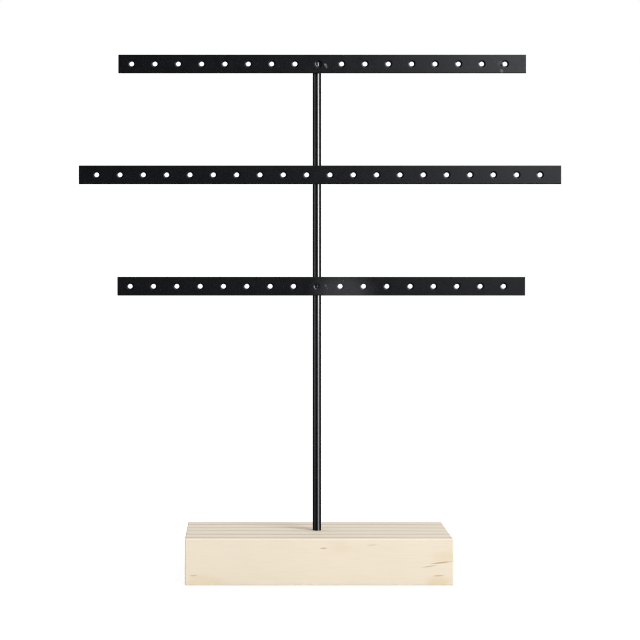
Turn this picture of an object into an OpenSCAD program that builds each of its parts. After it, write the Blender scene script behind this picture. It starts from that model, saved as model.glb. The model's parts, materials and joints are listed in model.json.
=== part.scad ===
// Earring display stand: a slim round post on a wooden base carries three punched flat bars.
// The origin is on the underside of the base, on the axis of the post. +Z is up, -Y is the front.

/* [Base] */
// Width of the wooden base
base_w = 140; // [100:1:200]
// Depth of the wooden base, front to back
base_d = 60; // [40:1:100]
// Thickness of the wooden base
base_h = 24.2; // [22:0.1:40]
// Radius that eases every edge of the base
base_edge_r = 0.6; // [0.3:0.1:3]
// Depth of the socket that holds the foot of the post
socket_depth = 12; // [8:0.5:14]

/* [Post] */
// Diameter of the round post
post_d = 4.5; // [4:0.1:8]
// How far the top of the post ends below the top edge of the upper bar
post_top_drop = 1.2; // [0:0.1:3]
// Chamfer on both ends of the post
post_chamfer = 0.4; // [0.1:0.1:0.6]

/* [Bars] */
// Height of each flat bar
bar_h = 10; // [8:0.1:16]
// Thickness of each flat bar
bar_t = 1; // [0.8:0.1:3]
// Radius along the rolled edges of the strip
bar_edge_r = 0.35; // [0.1:0.05:0.45]

/* [Earring holes] */
// Distance from one hole to the next along a bar
hole_pitch = 12.5; // [8:0.1:20]
// Diameter of each punched hole
hole_d = 2.5; // [1.5:0.1:4]
// Width of the rolled-in rim around each hole, at the front
rim_w = 0.9; // [0.3:0.1:1.2]
// Depth of the rolled-in rim
rim_depth = 0.2; // [0.1:0.05:0.5]

/* [Lower bar] */
// Number of holes in the lower bar
lower_holes = 17; // [3:1:25]
// Height of the lower row of holes above the base
lower_height = 131.1; // [60:0.1:200]
// Strip left of the first hole of the lower bar, from the hole's centre
lower_left = 6.9; // [4:0.1:20]
// Strip right of the last hole of the lower bar, from the hole's centre
lower_right = 11.6; // [4:0.1:20]
// Middle of the lower row, measured to the right from the post's axis
lower_shift = -0.1; // [-2:0.1:2]

/* [Middle bar] */
// Number of holes in the middle bar
middle_holes = 20; // [3:1:25]
// Distance from the lower row of holes up to the middle row
middle_rise = 59.7; // [25:0.1:100]
// Strip left of the first hole of the middle bar, from the hole's centre
middle_left = 9.6; // [4:0.1:20]
// Strip right of the last hole of the middle bar, from the hole's centre
middle_right = 11.4; // [4:0.1:20]
// Middle of the middle row, measured to the right from the post's axis
middle_shift = 0.7; // [-2:0.1:2]

/* [Upper bar] */
// Number of holes in the upper bar
upper_holes = 17; // [3:1:25]
// Distance from the middle row of holes up to the upper row
upper_rise = 59.4; // [25:0.1:100]
// Strip left of the first hole of the upper bar, from the hole's centre
upper_left = 7.2; // [4:0.1:20]
// Strip right of the last hole of the upper bar, from the hole's centre
upper_right = 11.3; // [4:0.1:20]
// Middle of the upper row, measured to the right from the post's axis
upper_shift = 0.7; // [-2:0.1:2]

/* [Welds] */
// Radius of the bead that joins a bar to the post
weld_r = 1; // [0.8:0.1:1.6]
// How deep the bead has melted into the side of the post
weld_bite = 0.15; // [0.05:0.05:0.4]
// Distance from one ripple of the bead to the next
weld_ripple = 1.2; // [0.8:0.1:1.6]
// Number of ripples in a bead
weld_ripples = 6; // [2:1:7]

/* [Fixing] */
// Diameter of the screw that holds the post from below
screw_d = 3; // [2:0.1:3]
// Diameter of the screw's button head
screw_head_d = 5.7; // [4.5:0.1:7]
// Height of the screw's button head
screw_head_h = 1.7; // [1.2:0.1:2.5]
// Width across flats of the hexagon socket in the head
screw_hex = 2; // [1.2:0.1:2.5]
// How far the screw reaches into the foot of the post
screw_reach = 8; // [5:0.5:12]
// Outer diameter of the washer
washer_d = 9; // [7.5:0.1:12]
// Thickness of the washer
washer_t = 0.8; // [0.5:0.1:1.5]
// Depth of the recess under the base, for the washer and the screw's head
recess_depth = 5; // [4:0.5:6]

/* [Clearances] */
// Clearance around the post in its socket, on the radius
post_play = 0.05; // [0.02:0.01:0.3]
// Clearance around the screw in the tapped post, on the radius
thread_play = 0.03; // [0.01:0.01:0.1]
// Clearance around the screw in the base, on the radius
screw_play = 0.25; // [0.1:0.05:0.5]
// Clearance around the screw in the washer, on the radius
washer_play = 0.1; // [0.05:0.05:0.3]
// Clearance around the washer in its recess, on the radius
recess_play = 0.75; // [0.25:0.25:2]

/* [Hidden] */
$fn = 48;

// Cuts run past the faces that they open by this much
past = 1;

post_r = post_d / 2;
hole_r = hole_d / 2;
screw_r = screw_d / 2;
screw_head_r = screw_head_d / 2;
washer_r = washer_d / 2;

// The bars stand against the front of the post
bar_back = -post_r;
bar_front = bar_back - bar_t;

lower_z = base_h + lower_height;
middle_z = lower_z + middle_rise;
upper_z = middle_z + upper_rise;

post_foot = base_h - socket_depth;
post_top = upper_z + bar_h / 2 - post_top_drop;

// The rim is an arc that leaves the front face without a kink and ends at the wall of the hole
rim_arc = (rim_w * rim_w + rim_depth * rim_depth) / (2 * rim_depth);
mouth_r = hole_r + rim_w;

// The bead lies in the groove between the round post and the back of the bar
weld_x = sqrt(pow(post_r + weld_r - weld_bite, 2) - post_r * post_r);
weld_drop = (weld_ripples - 1) * weld_ripple / 2;

tap_depth = screw_reach + 2;
tap_r = screw_r + thread_play;
recess_r = washer_r + recess_play;
washer_top = recess_depth;
washer_bottom = washer_top - washer_t;
screw_tip = post_foot + screw_reach;
hex_depth = 0.6 * screw_head_h;
screw_chamfer = 0.3 * screw_r;

steel_black = "#2b2c2e";
bead_black = "#242527";
pine = "#e3d5bd";
zinc = "#b9bcc0";

function row_width(holes) = (holes - 1) * hole_pitch;

// A rectangle centred on the origin, with round corners
module eased_rectangle(w, h, r) {
    square([w - 2 * r, h], center = true);
    square([w, h - 2 * r], center = true);
    for (x = [-1, 1], y = [-1, 1])
        translate([x * (w / 2 - r), y * (h / 2 - r)])
            circle(r);
}

// The block, with each of its twelve edges eased
module eased_block(w, d, h, r) {
    intersection() {
        linear_extrude(h)
            eased_rectangle(w, d, r);
        translate([0, d / 2, h / 2])
            rotate([90, 0, 0])
                linear_extrude(d)
                    eased_rectangle(w, h, r);
        translate([-w / 2, 0, h / 2])
            rotate([90, 0, 90])
                linear_extrude(w)
                    eased_rectangle(d, h, r);
    }
}

module base_block() {
    color(pine)
        difference() {
            eased_block(base_w, base_d, base_h, base_edge_r);
            translate([0, 0, post_foot])
                cylinder(r = post_r + post_play, h = socket_depth + past);
            translate([0, 0, recess_depth - past])
                cylinder(r = screw_r + screw_play, h = post_foot - recess_depth + 2 * past);
            translate([0, 0, -past])
                cylinder(r = recess_r, h = recess_depth + past);
        }
}

// One turned piece: chamfered ends, and a tapped hole with a drill point in the foot
module post() {
    color(steel_black)
        rotate_extrude()
            polygon([
                [tap_r, post_foot],
                [post_r - post_chamfer, post_foot],
                [post_r, post_foot + post_chamfer],
                [post_r, post_top - post_chamfer],
                [post_r - post_chamfer, post_top],
                [0, post_top],
                [0, post_foot + tap_depth + tap_r / 2],
                [tap_r, post_foot + tap_depth],
            ]);
}

// What the punch removes: a round hole whose rim rolls in from the front face at y = 0
module punch() {
    rotate([90, 0, 0])
        rotate_extrude() {
            translate([0, -bar_t - past])
                square([hole_r, bar_t + 2 * past]);
            difference() {
                translate([0, -rim_depth])
                    square([mouth_r, rim_depth]);
                translate([mouth_r, -rim_arc])
                    circle(rim_arc);
            }
            square([mouth_r, past]);
        }
}

// A flat strip on the front of the post, with its row of holes at height z
module punched_bar(z, holes, left, right, shift) {
    first = shift - row_width(holes) / 2;
    color(steel_black)
        translate([first, 0, z])
            difference() {
                translate([-left, (bar_back + bar_front) / 2, 0])
                    rotate([90, 0, 90])
                        linear_extrude(left + row_width(holes) + right)
                            eased_rectangle(bar_t, bar_h, bar_edge_r);
                for (i = [0 : holes - 1])
                    translate([i * hole_pitch, bar_front, 0])
                        punch();
            }
}

// A rippled bead in the groove on each side of the post, behind the bar
module welds(z) {
    for (side = [-1, 1])
        color(bead_black)
            difference() {
                for (i = [0 : weld_ripples - 1])
                    translate([side * weld_x, bar_back, z - weld_drop + i * weld_ripple])
                        sphere(weld_r);
                cylinder(r = post_r, h = post_top + past);
                translate([-bar_h, bar_back - weld_r - past, z - bar_h])
                    cube([2 * bar_h, weld_r + past, 2 * bar_h]);
            }
}

module lower_bar() {
    punched_bar(lower_z, lower_holes, lower_left, lower_right, lower_shift);
}

module middle_bar() {
    punched_bar(middle_z, middle_holes, middle_left, middle_right, middle_shift);
}

module upper_bar() {
    punched_bar(upper_z, upper_holes, upper_left, upper_right, upper_shift);
}

module lower_welds() {
    welds(lower_z);
}

module middle_welds() {
    welds(middle_z);
}

module upper_welds() {
    welds(upper_z);
}

// The domed half of the screw's head, below its seat at y = 0
module button_profile() {
    dome_r = (screw_head_r * screw_head_r + screw_head_h * screw_head_h) / (2 * screw_head_h);
    intersection() {
        translate([0, -screw_head_h])
            square([screw_head_r, screw_head_h]);
        translate([0, dome_r - screw_head_h])
            circle(dome_r);
    }
}

module post_screw() {
    color(zinc)
        difference() {
            union() {
                translate([0, 0, washer_bottom])
                    rotate_extrude()
                        button_profile();
                translate([0, 0, washer_bottom])
                    cylinder(r = screw_r, h = screw_tip - screw_chamfer - washer_bottom);
                translate([0, 0, screw_tip - screw_chamfer])
                    cylinder(r1 = screw_r, r2 = screw_r - screw_chamfer, h = screw_chamfer);
            }
            translate([0, 0, washer_bottom - screw_head_h - past])
                cylinder(d = screw_hex / cos(30), h = hex_depth + past, $fn = 6);
        }
}

module post_washer() {
    color(zinc)
        translate([0, 0, washer_bottom])
            difference() {
                cylinder(r = washer_r, h = washer_t);
                translate([0, 0, -past])
                    cylinder(r = screw_r + washer_play, h = washer_t + 2 * past);
            }
}

base_block();
post();
lower_bar();
middle_bar();
upper_bar();
lower_welds();
middle_welds();
upper_welds();
post_screw();
post_washer();
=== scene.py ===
"""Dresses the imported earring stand: punched black bars, a black post, a pine base and a white studio."""

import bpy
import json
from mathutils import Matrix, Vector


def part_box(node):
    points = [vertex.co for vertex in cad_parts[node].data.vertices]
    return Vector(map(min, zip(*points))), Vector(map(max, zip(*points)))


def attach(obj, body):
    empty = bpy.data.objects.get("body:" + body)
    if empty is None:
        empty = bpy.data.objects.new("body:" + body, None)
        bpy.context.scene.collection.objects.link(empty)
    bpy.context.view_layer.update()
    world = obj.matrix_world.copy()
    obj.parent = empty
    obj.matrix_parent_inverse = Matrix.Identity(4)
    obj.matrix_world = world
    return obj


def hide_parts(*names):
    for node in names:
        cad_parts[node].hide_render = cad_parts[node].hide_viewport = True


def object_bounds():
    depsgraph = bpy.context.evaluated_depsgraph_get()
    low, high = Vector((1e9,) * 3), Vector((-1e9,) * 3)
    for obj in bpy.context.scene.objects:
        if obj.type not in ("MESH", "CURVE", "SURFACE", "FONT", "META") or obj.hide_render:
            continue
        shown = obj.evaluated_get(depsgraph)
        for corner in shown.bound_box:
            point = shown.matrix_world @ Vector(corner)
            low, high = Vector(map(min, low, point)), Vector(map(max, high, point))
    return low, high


bl_info = {
    "name": "Earring stand",
    "version": (1, 0, 0),
    "blender": (4, 5, 0),
    "location": "3D View > Sidebar > Earring stand",
    "description": "Punched black bars, a black post and a pine base around the packed model",
    "category": "Object",
}

import json
import math

import bmesh
import bpy
from bpy.props import FloatProperty, FloatVectorProperty, IntProperty, PointerProperty
from mathutils import Euler, Matrix, Vector

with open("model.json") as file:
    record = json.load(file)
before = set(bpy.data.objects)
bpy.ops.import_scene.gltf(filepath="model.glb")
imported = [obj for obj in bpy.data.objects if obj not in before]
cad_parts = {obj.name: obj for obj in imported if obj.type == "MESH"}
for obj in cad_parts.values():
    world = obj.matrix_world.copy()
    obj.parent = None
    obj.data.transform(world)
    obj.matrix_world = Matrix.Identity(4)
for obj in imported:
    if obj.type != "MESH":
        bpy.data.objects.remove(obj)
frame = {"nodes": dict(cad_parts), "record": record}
CAD_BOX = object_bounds()

MM = 0.001
BARS = ("lower", "middle", "upper")
WELDS = [f"{bar}_welds" for bar in BARS]
MERGE_DISTANCE = 0.002 * MM
SHARP_ANGLE = math.radians(35)
LOOP_GAP = 0.05 * MM

# Where the dried drop sits from the middle of the last upper hole, how deep its back is sunk, and its shape
DROP_OFFSET = Vector((-2.0 * MM, 0.03 * MM, -0.35 * MM))
DROP_SUNK = 0.25 * MM
DROP_SAG = (0.9, 1, 1.15, 1)


class BarSettings(bpy.types.PropertyGroup):
    """Sizes of the punched strips."""

    edge_radius: FloatProperty(
        name="Edge radius", description="Radius along the rolled edges of the strip",
        default=0.35 * MM, min=0.3 * MM, max=0.45 * MM, unit="LENGTH")
    end_ease: FloatProperty(
        name="End ease", description="Radius around the cut ends, under the coat",
        default=0.3 * MM, min=0.05 * MM, max=0.3 * MM, unit="LENGTH")
    rim_width: FloatProperty(
        name="Rim width", description="Width of the rolled-in rim around each hole",
        default=0.9 * MM, min=0.1 * MM, max=1.2 * MM, unit="LENGTH")
    burr_radius: FloatProperty(
        name="Burr radius", description="Radius at the back of each hole, where the punch came out",
        default=0.15 * MM, min=0.05 * MM, max=0.5 * MM, unit="LENGTH")
    drop_radius: FloatProperty(
        name="Drop radius", description="Radius of the drop of dried coat beside the last upper hole",
        default=0.75 * MM, min=0.2 * MM, max=1 * MM, unit="LENGTH")
    drop_height: FloatProperty(
        name="Drop height", description="How far the dried drop stands out",
        default=0.5 * MM, min=0.1 * MM, max=1 * MM, unit="LENGTH")
    hole_segments: IntProperty(
        name="Hole segments", description="Faces around each hole, a multiple of four",
        default=48, min=16, max=96, step=4)
    curve_steps: IntProperty(
        name="Curve steps", description="Faces across each small radius", default=5, min=2, max=12)


class PostSettings(bpy.types.PropertyGroup):
    """Sizes of the round post."""

    chamfer: FloatProperty(
        name="Chamfer", description="Chamfer on both ends of the post",
        default=0.4 * MM, min=0.1 * MM, max=0.8 * MM, unit="LENGTH")
    tap_radius: FloatProperty(
        name="Tapped hole radius", description="Radius of the tapped hole in the foot",
        default=1.53 * MM, min=1 * MM, max=1.8 * MM, unit="LENGTH")
    tap_depth: FloatProperty(
        name="Tapped hole depth", description="Depth of the tapped hole in the foot",
        default=10 * MM, min=5 * MM, max=20 * MM, unit="LENGTH")
    segments: IntProperty(
        name="Segments", description="Faces around the post", default=96, min=24, max=192)


class CoatSettings(bpy.types.PropertyGroup):
    """Look of the black coat."""

    colour: FloatVectorProperty(
        name="Colour", description="Colour of the coat", subtype="COLOR", size=3,
        default=(0.0014, 0.0016, 0.0022), min=0, max=1)
    thin_colour: FloatVectorProperty(
        name="Thin colour", description="Colour where the coat lies thinner", subtype="COLOR", size=3,
        default=(0.0022, 0.0024, 0.0032), min=0, max=1)
    # Colour of specks of dust, and of the painted highlights on the bars
    dust_and_highlight_colour: FloatVectorProperty(
        name="Smudge colour", description="Colour of a rubbed place or a speck of dust", subtype="COLOR",
        size=3, default=(0.16, 0.155, 0.15), min=0, max=1)
    # Colour of the painted reflection on the lower bar
    painted_reflection_colour: FloatVectorProperty(
        name="Dull colour", description="Colour of a duller stretch of coat", subtype="COLOR",
        size=3, default=(0.156, 0.158, 0.173), min=0, max=1)
    roughness: FloatProperty(
        name="Roughness", description="Roughness of the coat on the post", subtype="FACTOR",
        default=0.14, min=0, max=1)
    gloss: FloatProperty(
        name="Gloss", description="How strongly the coat on the post mirrors what it faces",
        subtype="FACTOR", default=1.0, min=0, max=1)
    bar_roughness: FloatProperty(
        name="Bar roughness", description="Roughness of the satin coat on the bars", subtype="FACTOR",
        default=0.18, min=0, max=1)
    bar_gloss: FloatProperty(
        name="Bar gloss", description="How strongly the coat on the bars mirrors what it faces",
        subtype="FACTOR", default=0.5, min=0, max=1)


class PineSettings(bpy.types.PropertyGroup):
    """Look of the pine block."""

    early_colour: FloatVectorProperty(
        name="Early wood", description="Colour of the pale wood between the ring lines", subtype="COLOR",
        size=3, default=(0.455, 0.401, 0.322), min=0, max=1)
    late_colour: FloatVectorProperty(
        name="Late wood", description="Colour of the ring lines", subtype="COLOR",
        size=3, default=(0.324, 0.254, 0.183), min=0, max=1)
    # Colour of the resin streaks, and of the post's painted shadow on the top
    streak_and_shadow_colour: FloatVectorProperty(
        name="Streak", description="Colour of the short resin streaks", subtype="COLOR",
        size=3, default=(0.271, 0.184, 0.096), min=0, max=1)
    resin_colour: FloatVectorProperty(
        name="Resin", description="Colour of the yellower, resin-rich places", subtype="COLOR",
        size=3, default=(0.423, 0.350, 0.243), min=0, max=1)
    sheen: FloatProperty(
        name="Sheen", description="How strongly the bare wood mirrors at a low angle", subtype="FACTOR",
        default=0.2, min=0, max=1)
    ring_gap: FloatProperty(
        name="Ring gap", description="Distance from one growth ring to the next, in millimetres",
        default=11.0, min=2, max=20)
    pith: FloatVectorProperty(
        name="Pith", description="Where the middle of the trunk passes the block, in millimetres",
        size=3, default=(0.0, 171.1, 12.0))


class StudioSettings(bpy.types.PropertyGroup):
    """Camera, lamps and white room."""

    camera_place: FloatVectorProperty(
        name="Camera", description="Place of the camera", subtype="TRANSLATION", unit="LENGTH",
        size=3, default=(-38.7 * MM, -963 * MM, 175.14 * MM))
    lens: FloatProperty(
        name="Lens", description="Focal length on a 36 mm wide sensor", default=100.79, min=20, max=300,
        unit="CAMERA")
    shift: FloatVectorProperty(
        name="Shift", description="Shift of the lens that frames the stand off its axis", size=2,
        default=(0.1174, -0.1106))
    filter_width: FloatProperty(
        name="Filter width", description="How widely the picture blends neighbouring pixels, in pixels",
        default=1.0, min=0.5, max=3)
    key_power: FloatProperty(
        name="Key power", description="Power of the softbox at the right", default=44.5, min=0, max=500,
        unit="POWER")
    fill_power: FloatProperty(
        name="Fill power", description="Power of the card at the left", default=2.6, min=0, max=500,
        unit="POWER")
    room_level: FloatProperty(
        name="Room level", description="Light that the white room sends from the sides", default=0.28,
        min=0, max=2)
    ceiling_level: FloatProperty(
        name="Ceiling level", description="Light that the white room sends from above", default=1.56,
        min=0, max=2)


def settings():
    """Returns the scene's settings of the stand."""
    return bpy.context.scene.earring_stand


class StandSettings(bpy.types.PropertyGroup):
    """All settings of the stand."""

    bars: PointerProperty(type=BarSettings, name="Bars", description="Sizes of the punched strips")
    post: PointerProperty(type=PostSettings, name="Post", description="Sizes of the round post")
    coat: PointerProperty(type=CoatSettings, name="Coat", description="Look of the black coat")
    pine: PointerProperty(type=PineSettings, name="Pine", description="Look of the pine block")
    studio: PointerProperty(type=StudioSettings, name="Studio", description="Camera, lamps and room")


class TreeBuilder:
    """Adds nodes to a tree, from left to right, and joins their sockets."""

    def __init__(self, tree):
        self.tree = tree

    def add(self, kind, sockets=None, **options):
        """Adds one node. sockets maps an input, by name or number, to a value or to an output."""
        node = self.tree.nodes.new(kind)
        node.location = (200 * len(self.tree.nodes), 0)
        for option, value in options.items():
            setattr(node, option, value)
        for key, value in (sockets or {}).items():
            if isinstance(value, bpy.types.NodeSocket):
                self.tree.links.new(value, node.inputs[key])
            else:
                node.inputs[key].default_value = value
        return node

    def math(self, operation, first, second=0.0):
        """Adds a Math node and returns its output."""
        return self.add("ShaderNodeMath", {0: first, 1: second}, operation=operation).outputs[0]

    def vector(self, operation, first, second):
        """Adds a Vector Math node and returns its vector."""
        return self.add("ShaderNodeVectorMath", {0: first, 1: second}, operation=operation).outputs["Vector"]

    def length(self, vector):
        """Adds the length of a vector and returns it."""
        return self.add("ShaderNodeVectorMath", {0: vector}, operation="LENGTH").outputs["Value"]

    def map_range(self, value, start, end, low=0.0, high=1.0, smooth=False):
        """Maps the stretch from start to end onto low to high and returns the result."""
        return self.add(
            "ShaderNodeMapRange",
            {"Value": value, "From Min": start, "From Max": end, "To Min": low, "To Max": high},
            interpolation_type="SMOOTHSTEP" if smooth else "LINEAR").outputs["Result"]

    def mix(self, factor, first, second, blend="MIX"):
        """Mixes two colours by a factor and returns the colour."""
        node = self.add("ShaderNodeMix", data_type="RGBA", blend_type=blend)
        for socket, value in zip((node.inputs[0], node.inputs[6], node.inputs[7]), (factor, first, second)):
            if isinstance(value, bpy.types.NodeSocket):
                self.tree.links.new(value, socket)
            else:
                socket.default_value = value
        return node.outputs[2]

    def group(self, tree, sockets):
        """Places a node group and returns its first output."""
        node = self.add("ShaderNodeGroup", node_tree=tree)
        for name, value in sockets.items():
            if isinstance(value, bpy.types.NodeSocket):
                self.tree.links.new(value, node.inputs[name])
            else:
                node.inputs[name].default_value = value
        return node.outputs[0]


def rgba(colour):
    """Returns a colour with its alpha."""
    return (*colour, 1.0)


def new_group(name, inputs, output):
    """Starts a shader node group. Returns its tree, its builder and its input node."""
    tree = bpy.data.node_groups.new(name, "ShaderNodeTree")
    for label, kind, default in inputs:
        tree.interface.new_socket(label, in_out="INPUT", socket_type=kind).default_value = default
    tree.interface.new_socket(output[0], in_out="OUTPUT", socket_type=output[1])
    builder = TreeBuilder(tree)
    return tree, builder, builder.add("NodeGroupInput")


def local_mark_group():
    """A soft spot of any length and tilt: 1 in its middle, 0 from its rim outwards."""
    tree, build, given = new_group(
        "Local mark",
        [
            ("Place", "NodeSocketVector", (0, 0, 0)),
            ("Middle", "NodeSocketVector", (0, 0, 0)),
            ("Half size", "NodeSocketVector", (1, 1, 1)),
            ("Turn", "NodeSocketVector", (0, 0, 0)),
        ],
        ("Mask", "NodeSocketFloat"))
    local = build.add(
        "ShaderNodeMapping",
        {"Vector": given.outputs["Place"], "Location": given.outputs["Middle"],
         "Rotation": given.outputs["Turn"], "Scale": given.outputs["Half size"]},
        vector_type="TEXTURE").outputs["Vector"]
    build.add("NodeGroupOutput", {0: build.map_range(build.length(local), 1.0, 0.25, smooth=True)})
    return tree


def uneven_tone_group():
    """A cloudy value between a low and a high one, stretched along any axis."""
    tree, build, given = new_group(
        "Uneven tone",
        [
            ("Place", "NodeSocketVector", (0, 0, 0)),
            ("Cloud size", "NodeSocketVector", (1, 1, 1)),
            ("Detail", "NodeSocketFloat", 2.0),
            ("Low", "NodeSocketFloat", 0.0),
            ("High", "NodeSocketFloat", 1.0),
        ],
        ("Value", "NodeSocketFloat"))
    clouds = build.add(
        "ShaderNodeTexNoise",
        {"Vector": build.vector("DIVIDE", given.outputs["Place"], given.outputs["Cloud size"]),
         "Scale": 1.0, "Detail": given.outputs["Detail"]}).outputs["Fac"]
    value = build.map_range(clouds, 0.3, 0.7, given.outputs["Low"], given.outputs["High"])
    build.add("NodeGroupOutput", {0: value})
    return tree


def fine_relief_group():
    """The normal of a finely uneven skin."""
    tree, build, given = new_group(
        "Fine relief",
        [
            ("Place", "NodeSocketVector", (0, 0, 0)),
            ("Grain size", "NodeSocketVector", (1, 1, 1)),
            ("Depth", "NodeSocketFloat", 0.00001),
        ],
        ("Normal", "NodeSocketVector"))
    grain = build.add(
        "ShaderNodeTexNoise",
        {"Vector": build.vector("DIVIDE", given.outputs["Place"], given.outputs["Grain size"]),
         "Scale": 1.0, "Detail": 1.0}).outputs["Fac"]
    normal = build.add(
        "ShaderNodeBump", {"Height": grain, "Distance": given.outputs["Depth"]}).outputs["Normal"]
    build.add("NodeGroupOutput", {0: normal})
    return tree


def shared_group(name, make):
    """Returns the node group of that name, made once."""
    return bpy.data.node_groups.get(name) or make()


def local_mark(build, place, middle, half_size, turn=(0, 0, 0)):
    """Places a soft spot in a material. Sizes are in millimetres and turns in degrees."""
    return build.group(shared_group("Local mark", local_mark_group), {
        "Place": place, "Middle": middle, "Half size": half_size,
        "Turn": tuple(math.radians(angle) for angle in turn)})


def uneven_tone(build, place, cloud_size, low, high, detail=2.0):
    """Places a cloudy value in a material. The size of its clouds is in millimetres."""
    return build.group(shared_group("Uneven tone", uneven_tone_group), {
        "Place": place, "Cloud size": cloud_size, "Detail": detail, "Low": low, "High": high})


def fine_relief(build, place, grain_size, depth):
    """Places the normal of a finely uneven skin in a material. The size of its grain is in millimetres."""
    return build.group(shared_group("Fine relief", fine_relief_group), {
        "Place": place, "Grain size": grain_size, "Depth": depth})


def start_material(name):
    """Starts a material. Returns it, its builder and the place on the piece in millimetres."""
    material = bpy.data.materials.new(name)
    material.use_nodes = True
    material.node_tree.nodes.clear()
    build = TreeBuilder(material.node_tree)
    place = build.add("ShaderNodeTexCoord").outputs["Object"]
    in_mm = build.add("ShaderNodeVectorMath", {0: place, "Scale": 1 / MM}, operation="SCALE")
    return material, build, in_mm.outputs["Vector"]


def end_material(build, sockets):
    """Ends a material with its shader."""
    shader = build.add("ShaderNodeBsdfPrincipled", sockets)
    build.add("ShaderNodeOutputMaterial", {"Surface": shader.outputs["BSDF"]})


# Paler spots on the front of the bars, painted highlights where small dents and bumps catch the light:
# middle, half size and tilt, in millimetres and degrees
COAT_PAINTED_HIGHLIGHTS = {
    "upper, right of the post": ((4.5, -3.25, 273.8), (0.9, 0.6, 1.4), -25, 0.75),
    "upper, right of the post, low": ((5.1, -3.25, 272.6), (0.5, 0.6, 0.9), 20, 0.5),
    "lower, right of the post": ((4.6, -3.25, 155.6), (0.7, 0.6, 1.1), -15, 0.45),
    "lower, right of the post, low": ((5.6, -3.25, 154.3), (0.5, 0.6, 0.6), 0, 0.3),
    "upper, below the last hole": ((98.8, -3.25, 270.7), (1.5, 0.6, 1.2), 35, 0.5),
    "upper, around the drop": ((97.9, -3.25, 274.5), (1.9, 0.6, 2.1), 0, 0.13),
    "lower, over the tenth hole": ((14.2, -3.25, 158.2), (0.5, 0.5, 0.35), 0, 0.3),
}

# Long stretches of the coat painted paler, a painted reflection: middle and half size in millimetres, and
# strength
COAT_PAINTED_REFLECTIONS = {
    "lower, right of the post": ((13.8, -3.25, 153), (20.6, 3, 13), 0.1),
}


def black_coat_material(name, roughness, gloss):
    """Black coat: finely uneven, thinner in places, with specks of dust, a few painted highlights and a
    painted reflection.
    """
    coat = settings().coat
    material, build, place = start_material(name)
    dust_and_highlight_colour = rgba(coat.dust_and_highlight_colour)
    thin = uneven_tone(build, place, (9, 9, 9), 0.0, 1.0, detail=3.0)
    colour = build.mix(thin, rgba(coat.colour), rgba(coat.thin_colour))
    specks = build.add("ShaderNodeTexVoronoi", {"Vector": place, "Scale": 0.35}).outputs["Distance"]
    colour = build.mix(build.map_range(specks, 0.05, 0.02, high=0.35), colour, dust_and_highlight_colour)
    highlight_breakup = uneven_tone(build, place, (0.5, 0.5, 0.5), 0.3, 1.0)
    # Painted highlights where small dents and bumps on the bars catch the light
    for middle, half_size, tilt, strength in COAT_PAINTED_HIGHLIGHTS.values():
        spot = local_mark(build, place, middle, half_size, (0, tilt, 0))
        broken = build.math("MULTIPLY", build.math("MULTIPLY", spot, strength), highlight_breakup)
        colour = build.mix(broken, colour, dust_and_highlight_colour)
    # Painted reflection on the lower bar
    for middle, half_size, strength in COAT_PAINTED_REFLECTIONS.values():
        spot = local_mark(build, place, middle, half_size)
        colour = build.mix(build.math("MULTIPLY", spot, strength), colour, rgba(coat.painted_reflection_colour))
    rough = uneven_tone(build, place, (4, 4, 4), roughness - 0.02, roughness + 0.02, detail=3.0)
    peel = fine_relief(build, place, (1.2, 1.2, 1.2), 0.0005 * MM)
    end_material(build, {
        "Base Color": colour, "Roughness": rough, "Normal": peel, "Specular IOR Level": gloss})
    return material


# Short resin streaks on the planed faces, and the post's painted shadow on the top: middle and half size in
# millimetres, turn in degrees, strength
PINE_STREAKS_AND_SHADOW = {
    "front, left end": ((-65.3, -30, 5.2), (2.6, 2, 0.5), (0, 0, 0), 0.55),
    "front, under the post": ((2.3, -30, 19.4), (2.6, 2, 0.55), (0, -4, 0), 0.75),
    "front, right of the post": ((27.6, -30, 21.1), (4.2, 2, 0.5), (0, -2, 0), 0.42),
    "front, right end": ((63.5, -30, 11.9), (7.4, 2, 0.55), (0, -6.6, 0), 0.85),
    "front, right end, lower": ((57.5, -30, 10.0), (5.4, 2, 0.45), (0, -8.5, 0), 0.6),
    "front, low right": ((62.2, -30, 5.1), (3.9, 2, 0.5), (0, -2, 0), 0.7),
    # Painted shadow of the post on the top
    "top, painted shadow of the post": ((-9.8, 5.9, 24.2), (10.5, 1.3, 2), (0, 0, -36), 0.45),
}

# Yellower places, rich in resin: middle and half size in millimetres, and strength
PINE_RESIN = {
    "front, low left": ((-60, -30, 2), (16, 14, 5), 0.5),
    "front, low right": ((62, -30, 1.5), (9, 12, 5), 0.8),
    "front, right end": ((66, -30, 15), (11, 12, 4), 0.5),
    "front, under the post": ((11, -30, 20), (8, 10, 6), 0.3),
    "top, along the back": ((-27, 20, 24), (29, 4.5, 5), 0.6),
}

# Shares of the gap between rings where a ring line starts and where it is darkest, and how late it darkens
RING_LINE = (0.42, 0.93)
RING_LATENESS = 1.7

# How far the rings drift towards the front for each millimetre along the block
RING_DRIFT = -0.012

# Fine rings between one strong ring line and the next, which only the end grain shows
FINE_RINGS = 5.0

# The top is painted a little paler and cooler than the sides, as painted light and sheen from above
TOP_PAINTED_LIGHT = (1.07, 1.085, 1.13)


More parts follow.
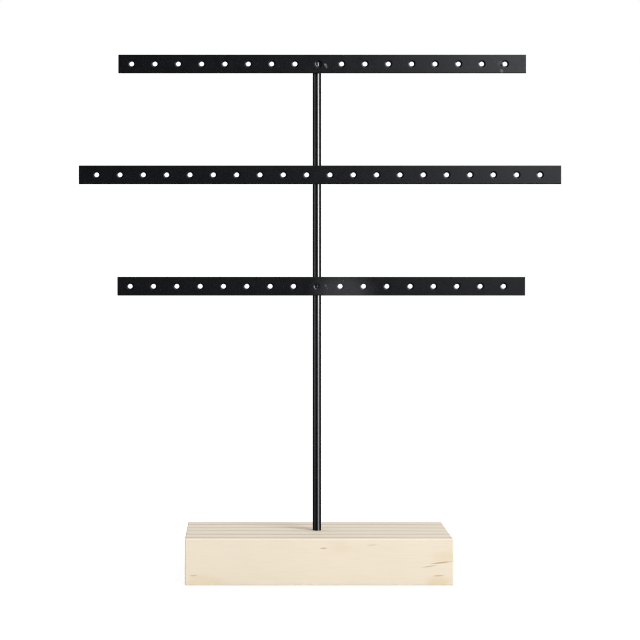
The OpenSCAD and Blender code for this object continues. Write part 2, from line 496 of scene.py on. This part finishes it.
def pine_material():
    """Planed pine: growth rings, fine fibres along the block, resin streaks, darker end grain, the post's
    painted shadow and a top painted paler as painted light.
    """
    pine = settings().pine
    material, build, place = start_material("pine_finish")
    sway = uneven_tone(build, place, (110, 40, 40), -1.4, 1.4, detail=1.0)
    centred = build.add(
        "ShaderNodeSeparateXYZ", {0: build.vector("SUBTRACT", place, tuple(pine.pith))})
    across = build.add("ShaderNodeCombineXYZ", {"Y": centred.outputs["Y"], "Z": centred.outputs["Z"]})
    radius = build.length(across.outputs[0])
    leaning = build.math("ADD", radius, build.math("MULTIPLY", centred.outputs["X"], RING_DRIFT))
    ring = build.math("FRACT", build.math("DIVIDE", build.math("ADD", leaning, sway), pine.ring_gap))
    start, peak = RING_LINE
    darkening = build.math("POWER", build.map_range(ring, start, peak), RING_LATENESS)
    late = build.math("MULTIPLY", darkening, build.map_range(ring, 1.0, peak))
    fade = uneven_tone(build, place, (60, 14, 14), 0.6, 1.0)
    colour = build.mix(
        build.math("MULTIPLY", late, fade), rgba(pine.early_colour), rgba(pine.late_colour))
    for middle, half_size, strength in PINE_RESIN.values():
        spot = local_mark(build, place, middle, half_size)
        colour = build.mix(build.math("MULTIPLY", spot, strength), colour, rgba(pine.resin_colour))
    # Resin streaks, and the post's painted shadow on the top
    for middle, half_size, turn, strength in PINE_STREAKS_AND_SHADOW.values():
        spot = local_mark(build, place, middle, half_size, turn)
        colour = build.mix(build.math("MULTIPLY", spot, strength), colour, rgba(pine.streak_and_shadow_colour))
    fibres = uneven_tone(build, place, (14, 0.35, 0.35), 0.975, 1.015, detail=3.0)
    clouds = uneven_tone(build, place, (26, 9, 9), 0.985, 1.01)
    colour = build.mix(1.0, colour, build.math("MULTIPLY", fibres, clouds), "MULTIPLY")
    facing = build.add(
        "ShaderNodeSeparateXYZ", {0: build.add("ShaderNodeNewGeometry").outputs["Normal"]}).outputs
    # Painted light: the top is painted paler and cooler than the sides
    top = build.map_range(facing["Z"], 0.3, 0.95)
    colour = build.mix(top, colour, build.mix(1.0, colour, rgba(TOP_PAINTED_LIGHT), "MULTIPLY"))
    end_grain = build.map_range(build.math("ABSOLUTE", facing["X"]), 0.6, 0.95)
    fine_ring = build.math("FRACT", build.math("MULTIPLY", ring, FINE_RINGS))
    fine_line = build.map_range(fine_ring, 0.4, 1.0, 1.0, 0.9)
    pores = uneven_tone(build, place, (2, 0.22, 0.22), 0.80, 0.96, detail=1.0)
    cut = build.mix(1.0, colour, build.math("MULTIPLY", pores, fine_line), "MULTIPLY")
    colour = build.mix(end_grain, colour, cut)
    rough = uneven_tone(build, place, (12, 1, 1), 0.60, 0.72)
    relief = fine_relief(build, place, (9, 0.3, 0.3), 0.02 * MM)
    end_material(build, {
        "Base Color": colour, "Roughness": rough, "Normal": relief, "Specular IOR Level": pine.sheen})
    return material


def zinc_material():
    """Zinc-plated steel: bright, finely pitted, cloudy in places."""
    material, build, place = start_material("zinc_finish")
    clouds = uneven_tone(build, place, (1.5, 1.5, 1.5), 0.0, 1.0, detail=3.0)
    colour = build.mix(clouds, (0.62, 0.63, 0.65, 1.0), (0.50, 0.51, 0.53, 1.0))
    rough = uneven_tone(build, place, (0.6, 0.6, 0.6), 0.24, 0.4, detail=3.0)
    pits = fine_relief(build, place, (0.15, 0.15, 0.15), 0.002 * MM)
    end_material(build, {"Base Color": colour, "Roughness": rough, "Metallic": 1.0, "Normal": pits})
    return material


def shared_material(name, make, *values):
    """Returns the material of that name, made once."""
    return bpy.data.materials.get(name) or make(*values)


def post_coat():
    """Returns the coat of the post and its welds."""
    name, coat = "post_coat_finish", settings().coat
    return shared_material(name, black_coat_material, name, coat.roughness, coat.gloss)


def bar_coat():
    """Returns the duller coat of the bars."""
    name, coat = "bar_coat_finish", settings().coat
    return shared_material(name, black_coat_material, name, coat.bar_roughness, coat.bar_gloss)


def dress_node(node, material):
    """Gives a carried-over CAD node its finish."""
    for slot in frame["nodes"][node].material_slots:
        slot.material = material


def link_mesh(name, bm):
    """Turns a bmesh into an object in the scene."""
    mesh = bpy.data.meshes.new(name)
    bm.to_mesh(mesh)
    bm.free()
    piece = bpy.data.objects.new(name, mesh)
    bpy.context.scene.collection.objects.link(piece)
    return piece


def close_shell(piece):
    """Merges a closed shell's seams, turns its faces outwards and shades it smooth between sharp edges."""
    bm = bmesh.new()
    bm.from_mesh(piece.data)
    bmesh.ops.remove_doubles(bm, verts=bm.verts, dist=MERGE_DISTANCE)
    bmesh.ops.recalc_face_normals(bm, faces=bm.faces)
    open_edges = [edge for edge in bm.edges if not edge.is_manifold]
    if open_edges:
        raise ValueError(f"{piece.name} isn't closed: {len(open_edges)} edges")
    bm.to_mesh(piece.data)
    bm.free()
    piece.data.shade_smooth()
    piece.data.set_sharp_from_angle(angle=SHARP_ANGLE)


def finish_piece(piece, material, slot, *nodes):
    """Seats a finished piece on the stand in place of the CAD nodes that it stands for."""
    piece.data.materials.clear()
    piece.data.materials.append(material)
    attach(piece, "root")
    if nodes:
        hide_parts(*nodes)


def hole_row(bar):
    """Returns the place of a bar's first hole, the number of holes and their pitch, from the mounts."""
    holes = {
        int(mount["name"][-2:]): mount for mount in frame["record"]["mounts"]
        if mount["name"].startswith(f"{bar}_hole_")}
    count = max(holes)
    first = Vector(holes[1]["pos_m"])
    last = Vector(holes[count]["pos_m"])
    return first, count, (last.x - first.x) / (count - 1)


class Strip:
    """The cross-section and the punch of one bar, in metres, with the row of holes at z = 0."""

    def __init__(self, bar):
        sizes = settings().bars
        low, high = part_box(f"{bar}_bar")
        hole = next(mount for mount in frame["record"]["mounts"] if mount["name"] == f"{bar}_hole_01")
        self.front = low.y
        self.back = high.y
        self.half_height = (high.z - low.z) / 2
        self.edge = sizes.edge_radius
        self.ease = sizes.end_ease
        self.burr = sizes.burr_radius
        self.steps = sizes.curve_steps
        self.segments = sizes.hole_segments
        self.hole_radius = hole["dims"]["r_mm"] * MM
        self.rim_width = sizes.rim_width
        self.rim_depth = self.back - self.front - hole["dims"]["length_mm"] * MM
        self.flat_half = self.half_height - self.edge - LOOP_GAP

    def face_heights(self):
        """Heights of the points along the flat of a face, from the bottom up."""
        count = self.segments // 4
        return [self.flat_half * (2 * i / count - 1) for i in range(count + 1)]

    def rolled_edge(self, inset=0.0):
        """Points over the top edge, from the front face to the back face, as y and z."""
        radius = self.edge - inset
        turns = [math.pi / 2 * i / self.steps for i in range(self.steps + 1)]
        centre_z = self.half_height - self.edge
        front_y = self.front + self.edge
        back_y = self.back - self.edge
        front = [(front_y - radius * math.cos(t), centre_z + radius * math.sin(t)) for t in turns]
        back = [(back_y + radius * math.sin(t), centre_z + radius * math.cos(t)) for t in turns]
        return front + back

    def section(self, inset=0.0):
        """The whole section as a closed loop of y and z, drawn in from the outline by inset."""
        heights = self.face_heights()
        over_top = self.rolled_edge(inset)
        under = [(y, -z) for y, z in reversed(over_top)]
        front = [(self.front + inset, z) for z in heights]
        back = [(self.back - inset, z) for z in reversed(heights)]
        return front + over_top + back + under

    def punch_profile(self):
        """Radius and y from the front face, down the rolled rim and the wall, to the back face."""
        width, depth = self.rim_width, self.rim_depth
        arc = (width * width + depth * depth) / (2 * depth)
        sweep = math.asin(width / arc)
        turns = [sweep * i / self.steps for i in range(self.steps + 1)]
        mouth = self.hole_radius + width
        rim = [(mouth - arc * math.sin(t), self.front + arc * (1 - math.cos(t))) for t in turns]
        burr = [
            (self.hole_radius + self.burr * (1 - math.cos(math.pi / 2 * i / self.steps)),
             self.back - self.burr + self.burr * math.sin(math.pi / 2 * i / self.steps))
            for i in range(self.steps + 1)]
        before = (rim[0][0] + LOOP_GAP, self.front)
        after = (burr[-1][0] + LOOP_GAP, self.back)
        return [before, *rim, *burr, after]


def circle_loop(bm, radius, y, segments):
    """A ring of vertices around a hole, which starts at its lower right."""
    turns = [math.tau * i / segments - math.pi / 4 for i in range(segments)]
    return [bm.verts.new((radius * math.cos(t), y, radius * math.sin(t))) for t in turns]


def face_loop(bm, half_width, y, heights):
    """A rectangle of vertices on a face of the strip, in step with circle_loop."""
    count = len(heights) - 1
    xs = [half_width * (1 - 2 * i / count) for i in range(count)]
    right = [(half_width, z) for z in heights[:-1]]
    top = [(x, heights[-1]) for x in xs]
    left = [(-half_width, z) for z in reversed(heights[1:])]
    bottom = [(-x, heights[0]) for x in xs]
    return [bm.verts.new((x, y, z)) for x, z in right + top + left + bottom]


def join_loops(bm, loops, closed=True):
    """Makes faces between each loop of vertices and the next."""
    for near, far in zip(loops, loops[1:]):
        count = len(near) if closed else len(near) - 1
        for i in range(count):
            j = (i + 1) % len(near)
            bm.faces.new((near[i], near[j], far[j], far[i]))


def punched_tile(strip, pitch):
    """One pitch of the strip with its hole, open at both ends."""
    bm = bmesh.new()
    heights = strip.face_heights()
    profile = strip.punch_profile()
    rings = [circle_loop(bm, radius, y, strip.segments) for radius, y in profile]
    front = face_loop(bm, pitch / 2, strip.front, heights)
    back = face_loop(bm, pitch / 2, strip.back, heights)
    join_loops(bm, [front, *rings, back])
    count = strip.segments // 4
    xs = [pitch * (0.5 - i / count) for i in range(count + 1)]
    for side in (1, -1):
        edge = [(strip.front, strip.flat_half), *strip.rolled_edge(), (strip.back, strip.flat_half)]
        rows = [[bm.verts.new((x, y, side * z)) for x in xs] for y, z in edge]
        join_loops(bm, rows, closed=False)
    bmesh.ops.remove_doubles(bm, verts=bm.verts, dist=MERGE_DISTANCE)
    return link_mesh("punched_tile", bm)


def plain_end(strip, start, end):
    """The plain stretch from the last tile to a cut end, with the end's edges eased."""
    bm = bmesh.new()
    outward = math.copysign(1, end - start)
    stations = [(start, 0.0), (end - outward * (strip.ease + LOOP_GAP), 0.0)]
    for i in range(strip.steps + 1):
        turn = math.pi / 2 * i / strip.steps
        inset = strip.ease * (1 - math.cos(turn))
        stations.append((end - outward * strip.ease * (1 - math.sin(turn)), inset))
    loops = [[bm.verts.new((x, y, z)) for y, z in strip.section(inset)] for x, inset in stations]
    join_loops(bm, loops)
    bm.faces.new(loops[-1])
    return link_mesh("plain_end", bm)


def punched_strip_tree():
    """Geometry Nodes that repeat the tile along a row and close the row with its two plain ends."""
    tree = bpy.data.node_groups.new("Punched strip", "GeometryNodeTree")
    for label, kind in (
            ("Tile", "NodeSocketObject"), ("Left end", "NodeSocketObject"), ("Right end", "NodeSocketObject"),
            ("First hole", "NodeSocketVector"), ("Holes", "NodeSocketInt"), ("Pitch", "NodeSocketFloat"),
            ("Merge distance", "NodeSocketFloat"), ("Coat", "NodeSocketMaterial")):
        tree.interface.new_socket(label, in_out="INPUT", socket_type=kind)
    tree.interface.new_socket("Geometry", in_out="OUTPUT", socket_type="NodeSocketGeometry")
    build = TreeBuilder(tree)
    given = build.add("NodeGroupInput").outputs
    step = build.add("ShaderNodeCombineXYZ", {"X": given["Pitch"]}).outputs[0]
    line = build.add(
        "GeometryNodeMeshLine",
        {"Count": given["Holes"], "Start Location": given["First hole"], "Offset": step},
        mode="OFFSET", count_mode="TOTAL")
    tile = build.add("GeometryNodeObjectInfo", {"Object": given["Tile"]}).outputs["Geometry"]
    tiles = build.add("GeometryNodeInstanceOnPoints", {"Points": line.outputs[0], "Instance": tile})
    gaps = build.math("SUBTRACT", given["Holes"], 1.0)
    reach = build.add("ShaderNodeCombineXYZ", {"X": build.math("MULTIPLY", gaps, given["Pitch"])}).outputs[0]
    last = build.vector("ADD", given["First hole"], reach)
    ends = []
    for label, place in (("Left end", given["First hole"]), ("Right end", last)):
        end = build.add("GeometryNodeObjectInfo", {"Object": given[label]}).outputs["Geometry"]
        ends.append(build.add("GeometryNodeTransform", {"Geometry": end, "Translation": place}).outputs[0])
    joined = build.add("GeometryNodeJoinGeometry")
    for part in (tiles.outputs[0], *ends):
        tree.links.new(part, joined.inputs[0])
    real = build.add("GeometryNodeRealizeInstances", {0: joined.outputs[0]})
    merged = build.add(
        "GeometryNodeMergeByDistance", {"Geometry": real.outputs[0], "Distance": given["Merge distance"]})
    coated = build.add("GeometryNodeSetMaterial", {"Geometry": merged.outputs[0], "Material": given["Coat"]})
    build.add("NodeGroupOutput", {0: coated.outputs[0]})
    return tree


def set_modifier_inputs(modifier, values):
    """Sets a Geometry Nodes modifier's inputs by the identifiers of their sockets."""
    for socket in modifier.node_group.interface.items_tree:
        if socket.in_out == "INPUT" and socket.name in values:
            modifier[socket.identifier] = values[socket.name]


def apply_to_mesh(host):
    """Turns what a piece's modifiers make into its plain mesh."""
    depsgraph = bpy.context.evaluated_depsgraph_get()
    made = bpy.data.meshes.new_from_object(host.evaluated_get(depsgraph), depsgraph=depsgraph)
    host.modifiers.clear()
    host.data = made


def make_bar(bar, tree):
    """Builds one punched bar and puts it in place of its CAD node."""
    strip = Strip(bar)
    first, count, pitch = hole_row(bar)
    low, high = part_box(f"{bar}_bar")
    last_x = first.x + (count - 1) * pitch
    tile = punched_tile(strip, pitch)
    left = plain_end(strip, -pitch / 2, low.x - first.x)
    right = plain_end(strip, pitch / 2, high.x - last_x)
    host = bpy.data.objects.new(f"{bar}_bar_punched", bpy.data.meshes.new(f"{bar}_bar_punched"))
    bpy.context.scene.collection.objects.link(host)
    modifier = host.modifiers.new("Punched strip", "NODES")
    modifier.node_group = tree
    set_modifier_inputs(modifier, {
        "Tile": tile, "Left end": left, "Right end": right, "First hole": (first.x, 0.0, first.z),
        "Holes": count, "Pitch": pitch, "Merge distance": MERGE_DISTANCE, "Coat": bar_coat()})
    apply_to_mesh(host)
    for helper in (tile, left, right):
        bpy.data.objects.remove(helper)
    close_shell(host)
    finish_piece(host, bar_coat(), "black_coat", f"{bar}_bar")


def lathe(name, profile, segments):
    """Turns a profile of radius and height around Z. A radius of 0 closes the shell at a pole."""
    bm = bmesh.new()
    loops = []
    for radius, z in profile:
        turns = [math.tau * i / segments for i in range(segments)]
        loops.append([bm.verts.new((radius * math.cos(t), radius * math.sin(t), z)) for t in turns])
    join_loops(bm, loops)
    bmesh.ops.remove_doubles(bm, verts=bm.verts, dist=MERGE_DISTANCE)
    bmesh.ops.dissolve_degenerate(bm, edges=bm.edges, dist=MERGE_DISTANCE)
    return link_mesh(name, bm)


class STAND_OT_make_bars(bpy.types.Operator):
    """Builds the three punched bars"""

    bl_idname = "stand.make_bars"
    bl_label = "Make bars"

    def execute(self, context):
        tree = punched_strip_tree()
        for bar in BARS:
            make_bar(bar, tree)
        return {"FINISHED"}


def drop_profile(radius, height, sunk, steps=6):
    """Radius and height of a drop that dried on a flat face, with a hollow foot, from its sunk back up."""
    foot = [(0, -sunk), (radius, -sunk), (radius, 0)]
    hollow = [(radius * (1 - 0.08 * i), height * 0.05 * i * i) for i in (1, 2)]
    edge, rise = hollow[-1]
    turns = [math.pi / 2 * i / steps for i in range(1, steps + 1)]
    dome = [(edge * math.cos(t), rise + (height - rise) * math.sin(t)) for t in turns]
    return foot + hollow + dome[:-1] + [(0, height)]


class STAND_OT_add_coat_drop(bpy.types.Operator):
    """Sets a drop of dried coat on the rim of the last hole of the upper bar"""

    bl_idname = "stand.add_coat_drop"
    bl_label = "Add coat drop"

    def execute(self, context):
        sizes = settings().bars
        first, count, pitch = hole_row("upper")
        profile = drop_profile(sizes.drop_radius, sizes.drop_height, DROP_SUNK)
        drop = lathe("coat_drop", profile, segments=32)
        forwards = Matrix.Rotation(math.pi / 2, 4, "X")
        place = Vector((first.x + (count - 1) * pitch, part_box("upper_bar")[0].y, first.z))
        drop.data.transform(Matrix.Translation(place + DROP_OFFSET) @ Matrix.Diagonal(DROP_SAG) @ forwards)
        close_shell(drop)
        finish_piece(drop, bar_coat(), "black_coat")
        return {"FINISHED"}


class STAND_OT_make_post(bpy.types.Operator):
    """Turns the round post, with its chamfers and the tapped hole in its foot"""

    bl_idname = "stand.make_post"
    bl_label = "Make post"

    def execute(self, context):
        sizes = settings().post
        low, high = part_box("post")
        radius = high.x
        foot, top = low.z, high.z
        tap, depth = sizes.tap_radius, sizes.tap_depth
        profile = [
            (0, foot + depth + tap / 2),
            (tap, foot + depth),
            (tap, foot),
            (radius - sizes.chamfer, foot),
            (radius, foot + sizes.chamfer),
            (radius, top - sizes.chamfer),
            (radius - sizes.chamfer, top),
            (0, top),
        ]
        post = lathe("post_turned", profile, sizes.segments)
        close_shell(post)
        finish_piece(post, post_coat(), "black_coat", "post")
        return {"FINISHED"}


class STAND_OT_coat_welds(bpy.types.Operator):
    """Coats the weld beads behind the bars"""

    bl_idname = "stand.coat_welds"
    bl_label = "Coat welds"

    def execute(self, context):
        for node in WELDS:
            dress_node(node, post_coat())
        return {"FINISHED"}


class STAND_OT_finish_base(bpy.types.Operator):
    """Gives the base its planed pine"""

    bl_idname = "stand.finish_base"
    bl_label = "Finish base"

    def execute(self, context):
        dress_node("base_block", shared_material("pine_finish", pine_material))
        # The coat doesn't mirror the pale wood, so the post stays black down to its foot
        frame["nodes"]["base_block"].visible_glossy = False
        return {"FINISHED"}


class STAND_OT_finish_fixing(bpy.types.Operator):
    """Gives the screw and its washer their zinc"""

    bl_idname = "stand.finish_fixing"
    bl_label = "Finish fixing"

    def execute(self, context):
        zinc = shared_material("zinc_finish", zinc_material)
        dress_node("post_screw", zinc)
        dress_node("post_washer", zinc)
        return {"FINISHED"}


def aim(lamp_or_camera, target):
    """Turns a lamp or a camera towards a point."""
    away = Vector(target) - lamp_or_camera.location
    lamp_or_camera.rotation_euler = away.to_track_quat("-Z", "Y").to_euler()


def softbox(name, azimuth, elevation, distance, size, power):
    """A rectangular lamp around the stand. Azimuth 0 is on the camera's side, and grows to the right."""
    middle = (CAD_BOX[0] + CAD_BOX[1]) / 2
    lamp = bpy.data.lights.new(name, "AREA")
    lamp.shape = "RECTANGLE"
    lamp.size, lamp.size_y = size
    lamp.energy = power
    box = bpy.data.objects.new(name, lamp)
    turn, rise = math.radians(azimuth), math.radians(elevation)
    level = Vector((math.sin(turn), -math.cos(turn), 0))
    direction = math.cos(rise) * level + Vector((0, 0, math.sin(rise)))
    box.location = middle + distance * direction
    aim(box, middle)
    box.visible_camera = False
    bpy.context.scene.collection.objects.link(box)


def shows_background(build):
    """Returns the light path's outputs, and 1 where the camera sees straight or through glass."""
    path = build.add("ShaderNodeLightPath").outputs
    return path, build.math("MAXIMUM", path["Is Camera Ray"], path["Is Transmission Ray"])


# What the coat mirrors round the room, at the height of the table and well above it: place from behind (0)
# over the left, the camera's side (0.5) and the right, and tone
LOW_TONES = (
    (0.00, 0.5), (0.05, 0.4), (0.09, 0.08), (0.17, 0.04), (0.285, 0.05), (0.297, 0.4), (0.372, 0.4),
    (0.385, 0.05), (0.42, 0.06), (0.445, 0.01), (0.478, 0.02), (0.484, 0.12), (0.495, 0.145), (0.503, 0.17),
    (0.5126, 0.09), (0.514, 0.07), (0.516, 0.11), (0.5183, 0.25), (0.5205, 0.34), (0.5226, 0.31),
    (0.525, 0.6), (0.54, 0.4), (0.57, 0.1), (0.583, 3.9), (0.672, 3.9), (0.69, 0.15), (0.74, 0.05),
    (0.90, 0.05), (0.95, 0.3), (1.00, 0.5),
)
HIGH_TONES = (
    (0.00, 0.6), (0.05, 0.45), (0.09, 0.08), (0.17, 0.04), (0.30, 0.05), (0.42, 0.05),
    (0.445, 0.01), (0.478, 0.02), (0.484, 0.04), (0.503, 0.05), (0.506, 0.08), (0.509, 0.09),
    (0.515, 0.33), (0.519, 0.85), (0.523, 2.2), (0.527, 2.7), (0.537, 2.7), (0.548, 0.6),
    (0.56, 0.1), (0.74, 0.05), (0.90, 0.05), (0.95, 0.35), (1.00, 0.6),
)

# The cool cast of what the coat mirrors
ROOM_TINT = (0.985, 1.0, 1.04)

# Heights between which the high tones take over, and below which the tones dim, as the sine of the angle
RAISED = (0.0, 0.105)
SUNK = (-0.06, -0.16)
DEEP = (-0.165, -0.24)

# Distances on the floor, in millimetres, between which the stand's shadow fades out
SHADOW_FADE = (160.0, 480.0)


def tone_ramp(build, turn, tones):
    """Adds a colour ramp of grey tones and returns its colour."""
    ramp = build.add("ShaderNodeValToRGB", {"Fac": turn})
    stops = ramp.color_ramp.elements
    for place, tone in tones[1:-1]:
        stops.new(place)
    for stop, (place, tone) in zip(stops, tones):
        stop.position = place
        stop.color = (*(tone * share for share in ROOM_TINT), 1.0)
    return ramp.outputs["Color"]


def white_room(level, ceiling):
    """A white world. The coat mirrors the darker side of the studio, where the camera stands."""
    world = bpy.data.worlds.new("White room")
    bpy.context.scene.world = world
    world.use_nodes = True
    world.cycles.sampling_method = "NONE"
    world.node_tree.nodes.clear()
    build = TreeBuilder(world.node_tree)
    direction = build.add("ShaderNodeSeparateXYZ", {0: build.add("ShaderNodeTexCoord").outputs["Generated"]})
    back = build.math("MULTIPLY", direction.outputs["Y"], -1.0)
    azimuth = build.math("ARCTAN2", direction.outputs["X"], back)
    turn = build.map_range(azimuth, -math.pi, math.pi)
    height = direction.outputs["Z"]
    tones = build.mix(
        build.map_range(height, *RAISED, smooth=True), tone_ramp(build, turn, LOW_TONES),
        tone_ramp(build, turn, HIGH_TONES))
    for reach, dimmest in ((SUNK, 0.7), (DEEP, 0.12)):
        tones = build.mix(1.0, tones, build.map_range(height, *reach, 1.0, dimmest), "MULTIPLY")
    path, shown = shows_background(build)
    mirrored = build.mix(path["Is Glossy Ray"], build.map_range(height, 0.0, 1.0, level, ceiling), tones)
    seen = build.mix(shown, mirrored, (1.0, 1.0, 1.0, 1.0))
    background = build.add("ShaderNodeBackground", {"Color": seen, "Strength": 1.0})
    build.add("ShaderNodeOutputWorld", {"Surface": background.outputs[0]})


def white_floor():
    """A pale floor that fades into the white room and keeps the stand's shadow."""
    bm = bmesh.new()
    bmesh.ops.create_grid(bm, x_segments=1, y_segments=1, size=6)
    floor = link_mesh("floor", bm)
    material, build, place = start_material("floor_white")
    path, shown = shows_background(build)
    bare = build.map_range(build.length(place), *SHADOW_FADE, low=0.85, smooth=True)
    matte = build.add("ShaderNodeBsdfDiffuse", {"Color": (0.9, 0.9, 0.9, 1.0)})
    glow = build.add("ShaderNodeEmission", {"Color": (1.0, 1.0, 1.0, 1.0), "Strength": 1.03})
    share = build.math("MULTIPLY", shown, bare)
    both = build.add("ShaderNodeMixShader", {0: share, 1: matte.outputs[0], 2: glow.outputs[0]})
    build.add("ShaderNodeOutputMaterial", {"Surface": both.outputs[0]})
    floor.data.materials.append(material)
    floor.visible_glossy = False


class STAND_OT_set_stage(bpy.types.Operator):
    """Sets the camera, the lamps, the pale floor and the white room"""

    bl_idname = "stand.set_stage"
    bl_label = "Set stage"

    def execute(self, context):
        studio = settings().studio
        context.scene.view_settings.view_transform = "Standard"
        context.scene.cycles.filter_width = studio.filter_width
        lens = bpy.data.cameras.new("camera")
        lens.lens = studio.lens
        lens.sensor_width = 36
        lens.shift_x, lens.shift_y = studio.shift
        camera = bpy.data.objects.new("camera", lens)
        camera.location = studio.camera_place
        camera.rotation_euler = Euler((math.pi / 2, 0, 0))
        context.scene.collection.objects.link(camera)
        context.scene.camera = camera
        softbox(
            "key_softbox", azimuth=46, elevation=27, distance=1.7, size=(0.975, 1.9),
            power=studio.key_power)
        softbox(
            "fill_card", azimuth=-59.5, elevation=12, distance=1.9, size=(0.9, 1.4),
            power=studio.fill_power)
        white_room(studio.room_level, studio.ceiling_level)
        white_floor()
        return {"FINISHED"}


STEPS = (
    STAND_OT_set_stage,
    STAND_OT_make_bars,
    STAND_OT_add_coat_drop,
    STAND_OT_make_post,
    STAND_OT_coat_welds,
    STAND_OT_finish_base,
    STAND_OT_finish_fixing,
)


class STAND_PT_panel(bpy.types.Panel):
    """Lists the stand's settings and the steps that build it"""

    bl_idname = "STAND_PT_panel"
    bl_label = "Earring stand"
    bl_space_type = "VIEW_3D"
    bl_region_type = "UI"
    bl_category = "Earring stand"

    def draw(self, context):
        stand = context.scene.earring_stand
        for title in ("bars", "post", "coat", "pine", "studio"):
            group = getattr(stand, title)
            box = self.layout.box()
            box.label(text=title.capitalize())
            for name in group.__annotations__:
                box.prop(group, name)
        for step in STEPS:
            self.layout.operator(step.bl_idname)


CLASSES = (
    BarSettings, PostSettings, CoatSettings, PineSettings, StudioSettings, StandSettings,
    *STEPS, STAND_PT_panel,
)


def register():
    for item in CLASSES:
        bpy.utils.register_class(item)
    bpy.types.Scene.earring_stand = PointerProperty(type=StandSettings)


def unregister():
    del bpy.types.Scene.earring_stand
    for item in reversed(CLASSES):
        bpy.utils.unregister_class(item)


def main():
    """Builds the whole stand and its stage."""
    register()
    bpy.ops.stand.set_stage()
    bpy.ops.stand.make_bars()
    bpy.ops.stand.add_coat_drop()
    bpy.ops.stand.make_post()
    bpy.ops.stand.coat_welds()
    bpy.ops.stand.finish_base()
    bpy.ops.stand.finish_fixing()


if __name__ == "__main__":
    main()
